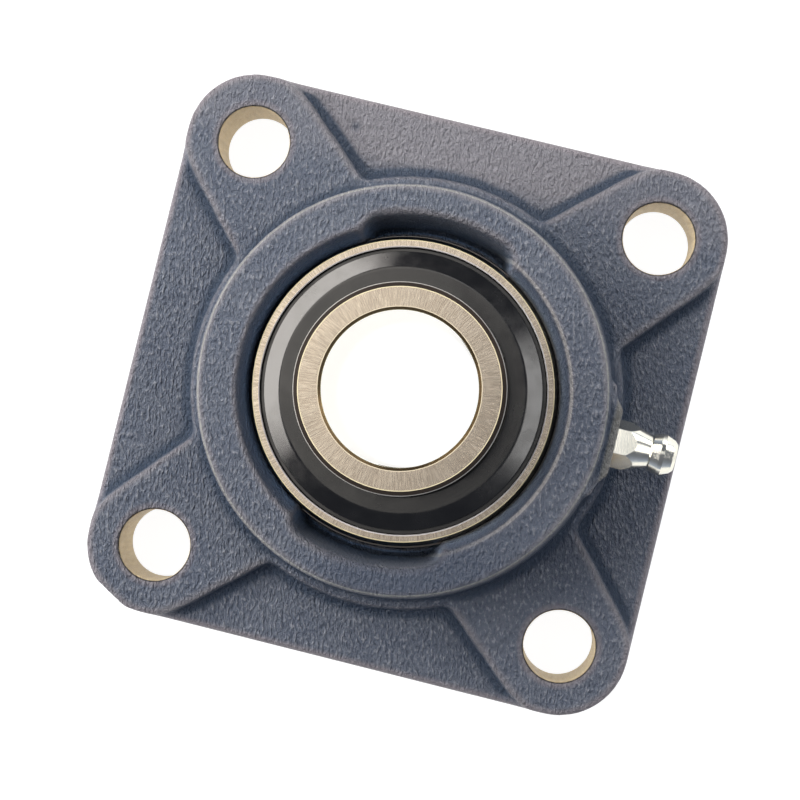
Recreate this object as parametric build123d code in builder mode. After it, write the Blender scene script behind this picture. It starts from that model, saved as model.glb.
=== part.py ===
from build123d import *
import math
import os

# Square flange bearing unit for a 25 mm shaft.
# Millimetres. The origin is the centre of the bolt pattern on the mounting face, +Z runs along the shaft
# axis out of the hub, and +X points to the grease nipple.

os.makedirs("parts", exist_ok=True)

# Flange of the casting
flange_side = 95.0
bolt_spacing = 70.0
bolt_hole_diameter = 12.0
bolt_hole_edge_break = 0.25
flange_thickness = 14.0
panel_recess = 2.0
casting_draft = 4.0
flange_edge_radius = 0.4

# Raised arms from the corner bosses to the hub
arm_shoulder_setback = 2.0
arm_shoulder_overrun = 0.25
arm_flare = 3.5
arm_side_draft = 8.0
arm_foot_radius = 0.7
panel_corner_radius = 1.5

# Hub of the casting
hub_diameter = 67.1
hub_height = 27.0
hub_draft = 4.5
hub_edge_radius = 0.5
hub_foot_radius = 1.2
hub_ledge = 1.8

# Seat of the insert and its entries
seat_diameter = 52.0
seat_height = 16.0
seat_half_width = 5.6
seat_clearance = 0.04
entry_diameter = 54.2
back_entry_depth = 5.0
back_entry_chamfer = 0.6

# Loading slots across the seat
slot_width = 25.4
slot_reach = 28.8
slot_draft = 8.0
slot_corner_radius = 2.5
slot_edge_radius = 0.6

# Boss for the grease nipple on the side of the hub
nipple_height = 19.0
nipple_boss_rise = 1.32
nipple_boss_width = 11.0
nipple_boss_flare = 4.0
nipple_boss_top = 25.2
boss_flare_bow = 0.5

# Ground-off casting gate on one corner boss
gate_direction = 240.2
gate_distance = 11.1

# Small dimple cast into the side panel beyond the hub
dimple_diameter = 2.8
dimple_depth = 0.3
dimple_x = -19.1
dimple_y = 41.8

# Rings of the insert
shaft_diameter = 25.0
inner_ring_race_depth = 1.749
inner_ring_front_reach = 19.8
inner_ring_back_reach = 14.3
inner_ring_bore_chamfer = 0.5
inner_ring_edge_chamfer = 0.8
outer_ring_width = 16.0
outer_ring_land_depth = 1.6
outer_ring_edge_chamfer = 0.3
seal_bore_wall = 1.35
seal_bore_depth = 3.1
grease_groove_offset = 4.1
grease_groove_width = 2.0
grease_groove_depth = 0.6
grease_hole_diameter = 1.5
grease_hole_count = 2

# Balls and cage
ball_count = 9
ball_diameter = 7.938
race_radius = 4.1
race_clearance = 0.03
cage_thickness = 0.8
cage_pocket_clearance = 0.1
cage_ring_gap = 0.65
rivet_diameter = 1.4
rivet_head_diameter = 2.4
rivet_head_height = 0.5
rivet_fit = 0.01

# Seals and flingers
seal_inner_face = 5.3
seal_plate_thickness = 0.5
seal_rim_height = 1.7
seal_fit = 0.01
seal_lip_clearance = 0.06
seal_lip_thickness = 0.6
seal_lip_overhang = 1.2
flinger_thickness = 0.5
flinger_face = 9.1
flinger_fit = 0.01
flinger_collar_height = 1.1
flinger_rim_gap = 0.55
flinger_cone_width = 2.65
flinger_cone_drop = 1.53

# Set screws in the front of the inner ring
screw_diameter = 6.0
screw_length = 4.4
screw_shaft_clearance = 0.2
screw_thread_clearance = 0.02
screw_distance_from_face = 5.0
screw_angles = (40.0, 280.0)
screw_socket_width = 3.0
screw_socket_depth = 2.2
screw_edge_chamfer = 0.5
screw_cup_diameter = 3.2
screw_cup_depth = 0.8

# Grease nipple
nipple_thread_diameter = 6.0
nipple_thread_length = 5.0
nipple_thread_clearance = 0.02
nipple_tap_extra_depth = 1.0
grease_duct_diameter = 3.0
nipple_seat_gap = 0.15
nipple_hex_width = 7.0
nipple_hex_height = 2.1
nipple_hex_turn = -6.6
nipple_neck_diameter = 5.4
nipple_neck_height = 6.0
nipple_collar_diameter = 6.0
nipple_collar_rise = 0.25
nipple_head_diameter = 6.85
nipple_head_height = 8.3
nipple_head_band = 0.7
nipple_shoulder_diameter = 5.5
nipple_shoulder_height = 9.8
nipple_tip_diameter = 4.4
nipple_tip_height = 10.35
nipple_bore_diameter = 3.0
nipple_mouth_diameter = 2.0
nipple_mouth_length = 0.4
nipple_stop_diameter = 1.8
nipple_stop_length = 0.7
check_ball_diameter = 2.5
check_ball_clearance = 0.02
spring_diameter = 2.4
spring_wire_diameter = 0.3
spring_turns = 9
spring_end_clearance = 0.05

# Length by which a cut runs past the faces it opens
cut_overrun = 1.0

# Sizes that follow from the ones above
corner_radius = (flange_side - bolt_spacing) / 2
panel_top = flange_thickness - panel_recess
boss_top_radius = corner_radius - flange_thickness * math.tan(math.radians(casting_draft))
bolt_circle_reach = bolt_spacing / math.sqrt(2)
seat_radius = seat_diameter / 2
seat_edge_radius = math.sqrt(seat_radius**2 - seat_half_width**2)
entry_radius = entry_diameter / 2
hub_radius = hub_diameter / 2
hub_wall_middle = (entry_radius + hub_radius) / 2
hub_wall_at_nipple = hub_radius + (hub_height - nipple_height) * math.tan(math.radians(hub_draft))
nipple_face_reach = hub_wall_at_nipple + nipple_boss_rise
ball_radius = ball_diameter / 2
bore_radius = shaft_diameter / 2
pitch_radius = (bore_radius + seat_radius) / 2
inner_race_bottom = pitch_radius - ball_radius - race_clearance
inner_ring_radius = inner_race_bottom + inner_ring_race_depth
outer_race_bottom = pitch_radius + ball_radius + race_clearance
outer_land_radius = outer_race_bottom - outer_ring_land_depth
outer_ring_radius = seat_radius - seat_clearance
outer_ring_half_width = outer_ring_width / 2
outer_ring_edge = math.sqrt(outer_ring_radius**2 - outer_ring_half_width**2)
seal_bore_radius = outer_ring_edge - seal_bore_wall
front_face = seat_height + inner_ring_front_reach
ball_plane = Plane.XY.offset(seat_height)
insert_section = Plane.XZ.shift_origin((0, 0, seat_height))
level_tolerance = 0.001
boss_root = nipple_boss_width / 2 + nipple_boss_flare
boss_middle = (boss_root + nipple_boss_width / 2) / 2
slot_lean = (hub_height - seat_height) * math.tan(math.radians(slot_draft))
groove_bottom = math.sqrt(seat_radius**2 - grease_groove_offset**2) - grease_groove_depth
gate_angle = math.radians(gate_direction)
gate_plane = Plane(
    (
        -bolt_spacing / 2 + gate_distance * math.cos(gate_angle),
        -bolt_spacing / 2 + gate_distance * math.sin(gate_angle),
        0,
    ),
    x_dir=(0, 0, 1),
    z_dir=(math.cos(gate_angle), math.sin(gate_angle), 0),
)
gate_cut = 3 * flange_thickness
dimple_radius = ((dimple_diameter / 2) ** 2 + dimple_depth**2) / (2 * dimple_depth)
screw_height = front_face - screw_distance_from_face
cage_pocket_radius = ball_radius + cage_pocket_clearance
cage_inner_radius = inner_ring_radius + cage_ring_gap
cage_outer_radius = outer_land_radius - cage_ring_gap
seal_plate_face = seal_inner_face + seal_plate_thickness
seal_plate_outer = seal_bore_radius - seal_fit
seal_lip_tip = inner_ring_radius + seal_lip_clearance
seal_plate_inner = seal_lip_tip + seal_lip_overhang + seal_plate_thickness
seal_lip_root = (seal_plate_inner + seal_plate_outer - seal_plate_thickness) / 2
flinger_bore = inner_ring_radius + flinger_fit
flinger_rim = seal_bore_radius - flinger_rim_gap
flinger_flat = flinger_rim - flinger_cone_width
flinger_underside = flinger_face - flinger_thickness
flinger_collar_foot = flinger_underside - flinger_collar_height
nipple_hex_corner = nipple_hex_width / 2 / math.cos(math.radians(30))
nipple_section = Plane((nipple_face_reach, 0, nipple_height), x_dir=(0, 0, 1), z_dir=(0, 1, 0))
nipple_line = Axis((nipple_face_reach, 0, nipple_height), (1, 0, 0))
valve_seat_height = nipple_tip_height - nipple_mouth_length
seat_touch = check_ball_diameter / 2 + check_ball_clearance
check_ball_centre = valve_seat_height - math.sqrt(seat_touch**2 - (nipple_mouth_diameter / 2) ** 2)
spring_start = -nipple_thread_length + nipple_stop_length + spring_end_clearance + spring_wire_diameter / 2
spring_coil_radius = (spring_diameter - spring_wire_diameter) / 2
spring_rest = (check_ball_diameter + spring_wire_diameter) / 2 + spring_end_clearance
spring_end = check_ball_centre - math.sqrt(spring_rest**2 - spring_coil_radius**2)
spring_length = spring_end - spring_start
spring_pitch = spring_length / spring_turns
spring_foot = (nipple_face_reach + spring_start, 0, nipple_height)
cup_align = (Align.CENTER, Align.CENTER, Align.MIN)


def direction(angle):
    """Unit vector square to the shaft, at an angle from +X in degrees."""
    return Vector(math.cos(math.radians(angle)), math.sin(math.radians(angle)), 0)


def radial_plane(height, angle):
    """Plane on the shaft axis at a height, looking outwards at an angle from +X in degrees."""
    return Plane((0, 0, height), x_dir=(0, 0, 1), z_dir=direction(angle))


def ball_place(number):
    """Centre of one ball on the pitch circle."""
    return direction(360 / ball_count * number) * pitch_radius + Vector(0, 0, seat_height)


def rivet_place(number):
    """Middle of the cage between one ball and the next."""
    return direction(360 / ball_count * (number + 0.5)) * pitch_radius + Vector(0, 0, seat_height)


def wall_radius(height):
    """Radius of the drafted hub wall at a height above the mounting face."""
    return hub_radius + (hub_height - height) * math.tan(math.radians(hub_draft))


# The foot line of an arm's side, towards the +X panel, in plan at the height of the panels
arm_side_angle = math.radians(45 + arm_flare)
boss_foot_radius = corner_radius - panel_top * math.tan(math.radians(casting_draft))
arm_side_end = (
    bolt_spacing / 2 + boss_foot_radius * math.sin(arm_side_angle),
    bolt_spacing / 2 - boss_foot_radius * math.cos(arm_side_angle),
)
arm_side_offset = arm_side_end[0] * math.sin(arm_side_angle) - arm_side_end[1] * math.cos(arm_side_angle)
panel_inner_radius = wall_radius(panel_top) + hub_ledge
panel_half_angle = math.degrees(arm_side_angle - math.asin(arm_side_offset / panel_inner_radius))
arm_side_foot = (
    panel_inner_radius * math.cos(math.radians(panel_half_angle)),
    panel_inner_radius * math.sin(math.radians(panel_half_angle)),
)
arm_shoulder = (
    flange_side / 2 - panel_top * math.tan(math.radians(casting_draft)) + arm_shoulder_overrun,
    bolt_spacing / 2 - arm_shoulder_setback,
)


def at_height(edge, height):
    """True for an edge that lies level at a height above the mounting face."""
    box = edge.bounding_box()
    return abs(box.min.Z - height) < level_tolerance and abs(box.max.Z - height) < level_tolerance


# What is missing from the flange at one side panel, between the sides of two arms and the hub's foot
with BuildPart() as panel_space:
    with BuildSketch(Plane.XY.offset(panel_top)) as panel:
        with BuildLine():
            side = Line(arm_side_foot, arm_side_end)
            TangentArc(arm_side_end, arm_shoulder, tangent=side % 1)
            Polyline(arm_shoulder, (flange_side, arm_shoulder[1]), (flange_side, 0))
            mirror(about=Plane.XZ)
            CenterArc((0, 0), panel_inner_radius, -panel_half_angle, 2 * panel_half_angle)
        make_face()
        fillet(panel.vertices().sort_by_distance((0, 0))[:2], panel_corner_radius)
    extrude(amount=panel_recess + cut_overrun, taper=-arm_side_draft)
    fillet([edge for edge in panel_space.edges() if at_height(edge, panel_top)], arm_foot_radius)

# Housing: flange, hub, arms, seat, loading slots, nipple boss and holes in one casting
with BuildPart() as housing:
    with BuildSketch():
        RectangleRounded(flange_side, flange_side, corner_radius)
    extrude(amount=flange_thickness, taper=casting_draft)
    with PolarLocations(0, 4):
        add(panel_space.part, mode=Mode.SUBTRACT)
    fillet([edge for edge in housing.edges() if at_height(edge, flange_thickness)], flange_edge_radius)

    # hub on the flange, with a small foot fillet
    with BuildSketch(Plane.XZ) as hub_section:
        with BuildLine():
            Polyline(
                (0, 0),
                (wall_radius(flange_thickness) + hub_foot_radius, 0),
                (wall_radius(flange_thickness) + hub_foot_radius, flange_thickness),
                (wall_radius(flange_thickness), flange_thickness),
                (hub_radius, hub_height),
                (0, hub_height),
                close=True,
            )
        make_face()
        foot = (wall_radius(flange_thickness), flange_thickness)
        fillet(hub_section.vertices().sort_by_distance(foot)[0], hub_foot_radius)
        fillet(hub_section.vertices().sort_by_distance((hub_radius, hub_height))[0], hub_edge_radius)
    revolve(axis=Axis.Z)

    # boss on the hub's side for the grease nipple, flared into the wall
    with BuildSketch(Plane.XY) as boss_plan:
        with BuildLine():
            Polyline((hub_wall_middle, 0), (hub_wall_middle, boss_root), (hub_radius, boss_root))
            ThreePointArc(
                (hub_radius, boss_root),
                ((hub_radius + nipple_face_reach - boss_flare_bow) / 2, boss_middle - boss_flare_bow),
                (nipple_face_reach, nipple_boss_width / 2),
            )
            Line((nipple_face_reach, nipple_boss_width / 2), (nipple_face_reach, 0))
            mirror(about=Plane.XZ)
        make_face()
    extrude(amount=nipple_boss_top)

    # spherical seat with its front and back entries
    with BuildSketch(Plane.XZ):
        with BuildLine():
            Polyline(
                (0, -cut_overrun),
                (entry_radius + back_entry_chamfer + cut_overrun, -cut_overrun),
                (entry_radius, back_entry_chamfer),
                (entry_radius, back_entry_depth),
                (seat_edge_radius, seat_height - seat_half_width),
            )
            RadiusArc(
                (seat_edge_radius, seat_height - seat_half_width),
                (seat_edge_radius, seat_height + seat_half_width),
                -seat_radius,
            )
            Polyline(
                (seat_edge_radius, seat_height + seat_half_width),
                (entry_radius, hub_height),
                (entry_radius, hub_height + cut_overrun),
                (0, hub_height + cut_overrun),
                (0, -cut_overrun),
            )
        make_face()
    revolve(axis=Axis.Z, mode=Mode.SUBTRACT)

    # loading slots, from the hub face down to the middle of the seat
    with BuildSketch(ball_plane) as slots:
        Circle(slot_reach - slot_lean)
        Rectangle(slot_width - 2 * slot_lean, 2 * slot_reach, mode=Mode.INTERSECT)
        fillet(slots.vertices(), slot_corner_radius)
    extrude(amount=hub_height - seat_height, taper=-slot_draft, mode=Mode.SUBTRACT)
    top_edges = [edge for edge in housing.edges() if at_height(edge, hub_height)]
    fillet([edge for edge in top_edges if abs(edge.center().Y) > slot_width / 2], slot_edge_radius)

    # bolt holes, with a light break of the front edge
    with GridLocations(bolt_spacing, bolt_spacing, 2, 2):
        Hole(bolt_hole_diameter / 2)
    round_edges = housing.edges().filter_by(GeomType.CIRCLE)
    hole_edges = [edge for edge in round_edges if abs(edge.radius - bolt_hole_diameter / 2) < level_tolerance]
    chamfer([edge for edge in hole_edges if at_height(edge, flange_thickness)], bolt_hole_edge_break)

    # tapped hole for the nipple and the grease duct to the seat
    with Locations(Plane((nipple_face_reach, 0, nipple_height), z_dir=(1, 0, 0))):
        tap_depth = nipple_thread_length + nipple_tap_extra_depth
        Hole(nipple_thread_diameter / 2 + nipple_thread_clearance, tap_depth)
        Hole(grease_duct_diameter / 2, nipple_face_reach - seat_radius + cut_overrun)

    # casting gate ground off flat at one corner boss
    with Locations(gate_plane):
        Box(gate_cut, gate_cut, gate_cut, align=(Align.CENTER, Align.CENTER, Align.MIN), mode=Mode.SUBTRACT)

    # small cast dimple in the panel
    with Locations((dimple_x, dimple_y, panel_top - dimple_depth + dimple_radius)):
        Sphere(dimple_radius, mode=Mode.SUBTRACT)


def save(piece, name):
    """Label a finished piece and write it under its own name."""
    piece.part.label = name
    export_step(piece.part, f"parts/{name}.step")


save(housing, "housing")

# Outer ring: sphere outside, raceway, lands and seal bores inside, grease groove and holes
with BuildPart() as outer_ring:
    with BuildSketch(insert_section):
        Circle(outer_ring_radius)
        with Locations(((seat_radius + outer_land_radius) / 2, 0)):
            Rectangle(seat_radius - outer_land_radius, outer_ring_width, mode=Mode.INTERSECT)
        for end in (1, -1):
            ring_end = end * outer_ring_half_width
            with BuildLine():
                Polyline(
                    (0, ring_end),
                    (seal_bore_radius + outer_ring_edge_chamfer, ring_end),
                    (seal_bore_radius, ring_end - end * outer_ring_edge_chamfer),
                    (seal_bore_radius, ring_end - end * seal_bore_depth),
                    (0, ring_end - end * seal_bore_depth),
                    close=True,
                )
            make_face(mode=Mode.SUBTRACT)
        with Locations((outer_race_bottom - race_radius, 0)):
            Circle(race_radius, mode=Mode.SUBTRACT)
        with Locations((seat_radius, grease_groove_offset)):
            Rectangle(2 * (seat_radius - groove_bottom), grease_groove_width, mode=Mode.SUBTRACT)
    revolve(axis=Axis.Z)
    for number in range(grease_hole_count):
        with BuildSketch(radial_plane(seat_height + grease_groove_offset, 360 / grease_hole_count * number)):
            Circle(grease_hole_diameter / 2)
        extrude(amount=seat_radius, mode=Mode.SUBTRACT)
save(outer_ring, "outer_ring")

# Inner ring: long sleeve with the shaft bore, the raceway and two tapped holes for the set screws
with BuildPart() as inner_ring:
    with BuildSketch(insert_section) as inner_section:
        Polygon(
            (bore_radius, -inner_ring_back_reach),
            (inner_ring_radius, -inner_ring_back_reach),
            (inner_ring_radius, inner_ring_front_reach),
            (bore_radius, inner_ring_front_reach),
            align=None,
        )
        chamfer(inner_section.vertices().group_by(Axis.X)[-1], inner_ring_edge_chamfer)
        chamfer(inner_section.vertices().group_by(Axis.X)[0], inner_ring_bore_chamfer)
        with Locations((inner_race_bottom + race_radius, 0)):
            Circle(race_radius, mode=Mode.SUBTRACT)
    revolve(axis=Axis.Z)
    for angle in screw_angles:
        with BuildSketch(radial_plane(screw_height, angle)):
            Circle(screw_diameter / 2 + screw_thread_clearance)
        extrude(amount=seat_radius, mode=Mode.SUBTRACT)
save(inner_ring, "inner_ring")

# Balls of the raceway
for number in range(ball_count):
    with BuildPart() as ball:
        with Locations(ball_place(number)):
            Sphere(ball_radius)
    save(ball, f"ball_{number + 1}")

# Cage: two pressed halves with a pocket round each ball, flat between the balls, and riveted there
for half, side in (("front", 1), ("back", -1)):
    with BuildPart() as cage:
        for number in range(ball_count):
            with Locations(ball_place(number)):
                Sphere(cage_pocket_radius + cage_thickness)
        with BuildSketch(ball_plane):
            Circle(cage_outer_radius)
            Circle(cage_inner_radius, mode=Mode.SUBTRACT)
        extrude(amount=side * ball_diameter, mode=Mode.INTERSECT)
        with BuildSketch(ball_plane):
            Circle(cage_outer_radius)
            Circle(cage_inner_radius, mode=Mode.SUBTRACT)
        extrude(amount=side * cage_thickness)
        for number in range(ball_count):
            with Locations(ball_place(number)):
                Sphere(cage_pocket_radius, mode=Mode.SUBTRACT)
        for number in range(ball_count):
            with Locations(rivet_place(number)):
                Cylinder(rivet_diameter / 2, 4 * cage_thickness, mode=Mode.SUBTRACT)
    save(cage, f"cage_{half}")

with BuildPart() as cage_rivets:
    for number in range(ball_count):
        with Locations(rivet_place(number)):
            Cylinder(rivet_diameter / 2 - rivet_fit, 2 * cage_thickness)
        for side in (1, -1):
            head = rivet_place(number) + Vector(0, 0, side * (cage_thickness + rivet_head_height / 2))
            with Locations(head):
                Cylinder(rivet_head_diameter / 2, rivet_head_height)
save(cage_rivets, "cage_rivets")

# Seals and flingers, on both sides of the balls
for half, side in (("front", 1), ("back", -1)):
    # steel carrier of the seal, pressed into the outer ring
    with BuildPart() as seal_plate:
        with BuildSketch(insert_section):
            Polygon(
                (seal_plate_inner, side * seal_inner_face),
                (seal_plate_outer, side * seal_inner_face),
                (seal_plate_outer, side * (seal_inner_face + seal_rim_height)),
                (seal_plate_outer - seal_plate_thickness, side * (seal_inner_face + seal_rim_height)),
                (seal_plate_outer - seal_plate_thickness, side * seal_plate_face),
                (seal_plate_inner, side * seal_plate_face),
                align=None,
            )
        revolve(axis=Axis.Z)
    save(seal_plate, f"{half}_seal_plate")

    # rubber lip, bonded to the carrier's outer face and hooked over its inner edge
    with BuildPart() as seal_lip:
        with BuildSketch(insert_section):
            Polygon(
                (seal_lip_tip, side * (seal_plate_face + seal_lip_thickness)),
                (seal_lip_tip + seal_lip_overhang, side * seal_inner_face),
                (seal_plate_inner, side * seal_inner_face),
                (seal_plate_inner, side * seal_plate_face),
                (seal_lip_root, side * seal_plate_face),
                (seal_lip_root, side * (seal_plate_face + seal_lip_thickness)),
                align=None,
            )
        revolve(axis=Axis.Z)
    save(seal_lip, f"{half}_seal_lip")

    # pressed shield on the inner ring: collar, flat band and conical skirt over the seal
    with BuildPart() as flinger:
        with BuildSketch(insert_section):
            Polygon(
                (flinger_bore, side * flinger_collar_foot),
                (flinger_bore, side * flinger_face),
                (flinger_flat, side * flinger_face),
                (flinger_rim, side * (flinger_face - flinger_cone_drop)),
                (flinger_rim - flinger_thickness, side * (flinger_underside - flinger_cone_drop)),
                (flinger_flat - flinger_thickness / 2, side * flinger_underside),
                (flinger_bore + flinger_thickness, side * flinger_underside),
                (flinger_bore + flinger_thickness, side * flinger_collar_foot),
                align=None,
            )
        revolve(axis=Axis.Z)
    save(flinger, f"{half}_flinger")

# Set screws, each backed out until its point is clear of the bore
for number, angle in enumerate(screw_angles):
    with BuildPart() as set_screw:
        screw_axis = radial_plane(screw_height, angle)
        with BuildSketch(screw_axis.offset(bore_radius + screw_shaft_clearance)):
            Circle(screw_diameter / 2)
        extrude(amount=screw_length)
        chamfer(set_screw.edges().filter_by(GeomType.CIRCLE), screw_edge_chamfer)
        with BuildSketch(screw_axis.offset(bore_radius + screw_shaft_clearance + screw_length)):
            RegularPolygon(screw_socket_width / 2, 6, major_radius=False)
        extrude(amount=-screw_socket_depth, mode=Mode.SUBTRACT)
        with Locations(screw_axis.offset(bore_radius + screw_shaft_clearance)):
            Cone(screw_cup_diameter / 2, 0, screw_cup_depth, align=cup_align, mode=Mode.SUBTRACT)
    save(set_screw, f"set_screw_{number + 1}")

# Grease nipple: screwed shank, hexagon, neck and head, bored for the check ball and its spring
nipple_axis = Plane((nipple_face_reach, 0, nipple_height), x_dir=(0, 0, 1), z_dir=(1, 0, 0))
with BuildPart() as nipple_body:
    with BuildSketch(nipple_section):
        Polygon(
            (0, nipple_seat_gap),
            (nipple_hex_corner, nipple_seat_gap),
            (nipple_hex_corner, nipple_hex_height),
            (nipple_neck_diameter / 2, nipple_neck_height),
            (nipple_collar_diameter / 2, nipple_neck_height + nipple_collar_rise),
            (nipple_head_diameter / 2, nipple_head_height - nipple_head_band),
            (nipple_head_diameter / 2, nipple_head_height),
            (nipple_shoulder_diameter / 2, nipple_shoulder_height),
            (nipple_tip_diameter / 2, nipple_tip_height),
            (0, nipple_tip_height),
            align=None,
        )
    revolve(axis=nipple_line)
    with BuildSketch(nipple_axis):
        RegularPolygon(nipple_hex_width / 2, 6, major_radius=False, rotation=30 + nipple_hex_turn)
    extrude(amount=nipple_tip_height, mode=Mode.INTERSECT)
    with BuildSketch(nipple_axis.offset(nipple_seat_gap)):
        Circle(nipple_thread_diameter / 2)
    extrude(amount=-nipple_thread_length - nipple_seat_gap)
    with BuildSketch(nipple_section):
        Polygon(
            (0, -nipple_thread_length),
            (nipple_stop_diameter / 2, -nipple_thread_length),
            (nipple_stop_diameter / 2, -nipple_thread_length + nipple_stop_length),
            (nipple_bore_diameter / 2, -nipple_thread_length + nipple_stop_length),
            (nipple_bore_diameter / 2, check_ball_centre),
            (nipple_mouth_diameter / 2, valve_seat_height),
            (nipple_mouth_diameter / 2, nipple_tip_height),
            (0, nipple_tip_height),
            align=None,
        )
    revolve(axis=nipple_line, mode=Mode.SUBTRACT)
save(nipple_body, "nipple_body")

with BuildPart() as nipple_check_ball:
    with Locations((nipple_face_reach + check_ball_centre, 0, nipple_height)):
        Sphere(check_ball_diameter / 2)
save(nipple_check_ball, "nipple_check_ball")

with BuildPart() as nipple_spring:
    with BuildLine() as coil:
        Helix(spring_pitch, spring_length, spring_coil_radius, center=spring_foot, direction=(1, 0, 0))
    with BuildSketch(Plane(origin=coil.line @ 0, z_dir=coil.line % 0)):
        Circle(spring_wire_diameter / 2)
    sweep(is_frenet=True)
save(nipple_spring, "nipple_spring")
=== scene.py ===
import math

import bpy
import numpy as np
from mathutils import Matrix, Vector
from mathutils.bvhtree import BVHTree


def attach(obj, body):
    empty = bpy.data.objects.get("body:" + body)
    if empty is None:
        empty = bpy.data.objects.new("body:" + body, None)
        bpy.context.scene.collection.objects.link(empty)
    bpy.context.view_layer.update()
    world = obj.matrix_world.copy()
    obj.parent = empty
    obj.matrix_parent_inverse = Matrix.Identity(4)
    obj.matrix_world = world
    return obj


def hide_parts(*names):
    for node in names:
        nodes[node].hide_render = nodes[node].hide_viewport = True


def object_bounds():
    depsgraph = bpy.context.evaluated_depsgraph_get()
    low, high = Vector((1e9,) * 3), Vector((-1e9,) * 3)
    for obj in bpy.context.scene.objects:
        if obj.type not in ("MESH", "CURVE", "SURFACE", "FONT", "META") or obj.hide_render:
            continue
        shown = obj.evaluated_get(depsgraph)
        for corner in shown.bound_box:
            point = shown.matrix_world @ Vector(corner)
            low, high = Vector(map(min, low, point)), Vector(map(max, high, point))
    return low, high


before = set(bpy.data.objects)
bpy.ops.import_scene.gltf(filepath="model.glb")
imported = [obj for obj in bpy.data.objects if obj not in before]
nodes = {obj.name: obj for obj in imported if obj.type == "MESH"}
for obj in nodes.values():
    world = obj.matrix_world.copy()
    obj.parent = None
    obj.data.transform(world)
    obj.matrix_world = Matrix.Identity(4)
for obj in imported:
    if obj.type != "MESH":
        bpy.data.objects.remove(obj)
start_low, start_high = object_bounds()
print("bounds of the frame", [round(v, 4) for v in (*start_low, *start_high)])

# %% [markdown]
# ## Square flange bearing unit on a white table
# A grey-iron housing with four bolt holes carries a ball bearing insert for a 25 mm shaft. The exact frame
# comes from the imported CAD part and isn't changed here. This lesson adds what a photograph sees: the soft
# skin of a sand casting under slate blue paint, ground and turned steel, a blackened shield and a bright
# plated nipple. All lengths are in metres. The origin is the middle of the bolt pattern on the mounting
# face, +Z runs out of the hub and +X points to the grease nipple.

# %% [markdown]
# ## Sizes that the looks share
# Bands of colour, wear, painted shade and painted highlights sit at fixed distances from the shaft axis or
# from a bolt axis, since they follow turned, ground and drilled shapes and washers. So each one is a mask
# of a measured distance instead of a painted picture, and the numbers are in millimetres because that is
# how the unit is measured.

# %% Sizes
MM = 0.001
BOLT_PLACE = 35.0
BOLT_RADIUS = 6.0
HUB_RIM = 33.3
SEAT_HEIGHT = 16.0
NIPPLE_HEIGHT = 19.0
IMAGE_RIGHT = Vector((0.96988515, 0.23888961, -0.04748214))
IMAGE_UP = Vector((-0.23800481, 0.97097791, 0.02357119))
DRAW_ANGLE = math.atan2(IMAGE_RIGHT.y, IMAGE_RIGHT.x)
print("nodes in the frame:", len(nodes))

# %% [markdown]
# ## Camera
# The photo looks almost straight down on the hub from about 0.36 m. A camera could be aimed by eye, but
# then every rim would be a little off. Its place and lens were solved instead from the four bolt-hole rims
# and four concentric circles of the unit, so they are given as numbers.

# %% Camera
CAMERA_PLACE = (17.789, -5.684, 372.22)
camera_data = bpy.data.cameras.new("Photo camera")
camera_data.sensor_width = 36
camera_data.lens = 96.26
camera_data.shift_x = 0.00125
camera_data.shift_y = 0.0003
camera_data.clip_start = 0.01
camera_data.clip_end = 20
camera = bpy.data.objects.new("Photo camera", camera_data)
bpy.context.scene.collection.objects.link(camera)
axes = Matrix((IMAGE_RIGHT, IMAGE_UP, IMAGE_RIGHT.cross(IMAGE_UP))).transposed()
camera.matrix_world = Matrix.Translation(Vector(CAMERA_PLACE) * MM) @ axes.to_4x4()
bpy.context.scene.camera = camera
bpy.context.scene.view_settings.view_transform = "Standard"
print("camera", [round(v, 3) for v in camera.matrix_world.translation], "lens", camera_data.lens)

# %% [markdown]
# ## Calls that build shader nodes
# A material is a chain of small calculations. The nodes could be placed by hand in the shader editor, but a
# chain of forty nodes is easier to read and change as code. `Graph` adds one node for each call and hands
# back its output, so that a chain reads like ordinary code.


# %% Graph
class Graph:
    """A node tree and short calls that each add one node to it."""

    def __init__(self, tree):
        self.tree = tree

    def fill(self, node, inputs):
        """Links or sets the inputs of a node."""
        for name, value in inputs.items():
            if isinstance(value, bpy.types.NodeSocket):
                self.tree.links.new(value, node.inputs[name])
            else:
                node.inputs[name].default_value = value

    def add(self, kind, inputs=None, out=0, **settings):
        """One node with its settings and inputs. Hands back one output."""
        node = self.tree.nodes.new(kind)
        for name, value in settings.items():
            setattr(node, name, value)
        self.fill(node, inputs or {})
        return node.outputs[out]

    def calc(self, operation, *values):
        """One Math node."""
        return self.add("ShaderNodeMath", dict(enumerate(values)), operation=operation)

    def every(self, first, *others):
        """A mask that is white where all of the given masks are white."""
        for mask in others:
            first = self.calc("MULTIPLY", first, mask)
        return first

    def step(self, value, low, high, to_low=0.0, to_high=1.0):
        """A smooth climb from to_low at low to to_high at high."""
        inputs = {"Value": value, "From Min": low, "From Max": high, "To Min": to_low, "To Max": to_high}
        return self.add("ShaderNodeMapRange", inputs, interpolation_type="SMOOTHSTEP")

    def colour(self, factor, first, second):
        """A mix of two colours."""
        return self.add("ShaderNodeMix", {0: factor, 6: first, 7: second}, out=2, data_type="RGBA")

    def noise(self, vector, scale, detail=2.0, roughness=0.5):
        """Noise from 0 to 1."""
        inputs = {"Vector": vector, "Scale": scale, "Detail": detail, "Roughness": roughness}
        return self.add("ShaderNodeTexNoise", inputs)

    def group(self, tree, **inputs):
        """A node group. Hands back its outputs by name."""
        node = self.tree.nodes.new("ShaderNodeGroup")
        node.node_tree = tree
        self.fill(node, {name.replace("_", " "): value for name, value in inputs.items()})
        return node.outputs


print("node calls ready")

# %% [markdown]
# ## Calls that start a group and a material
# An effect that more than one material uses lives in a node group with its own sockets. It gives out only
# masks and values, which leaves the shader itself in each material, where the export can read it.


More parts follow.
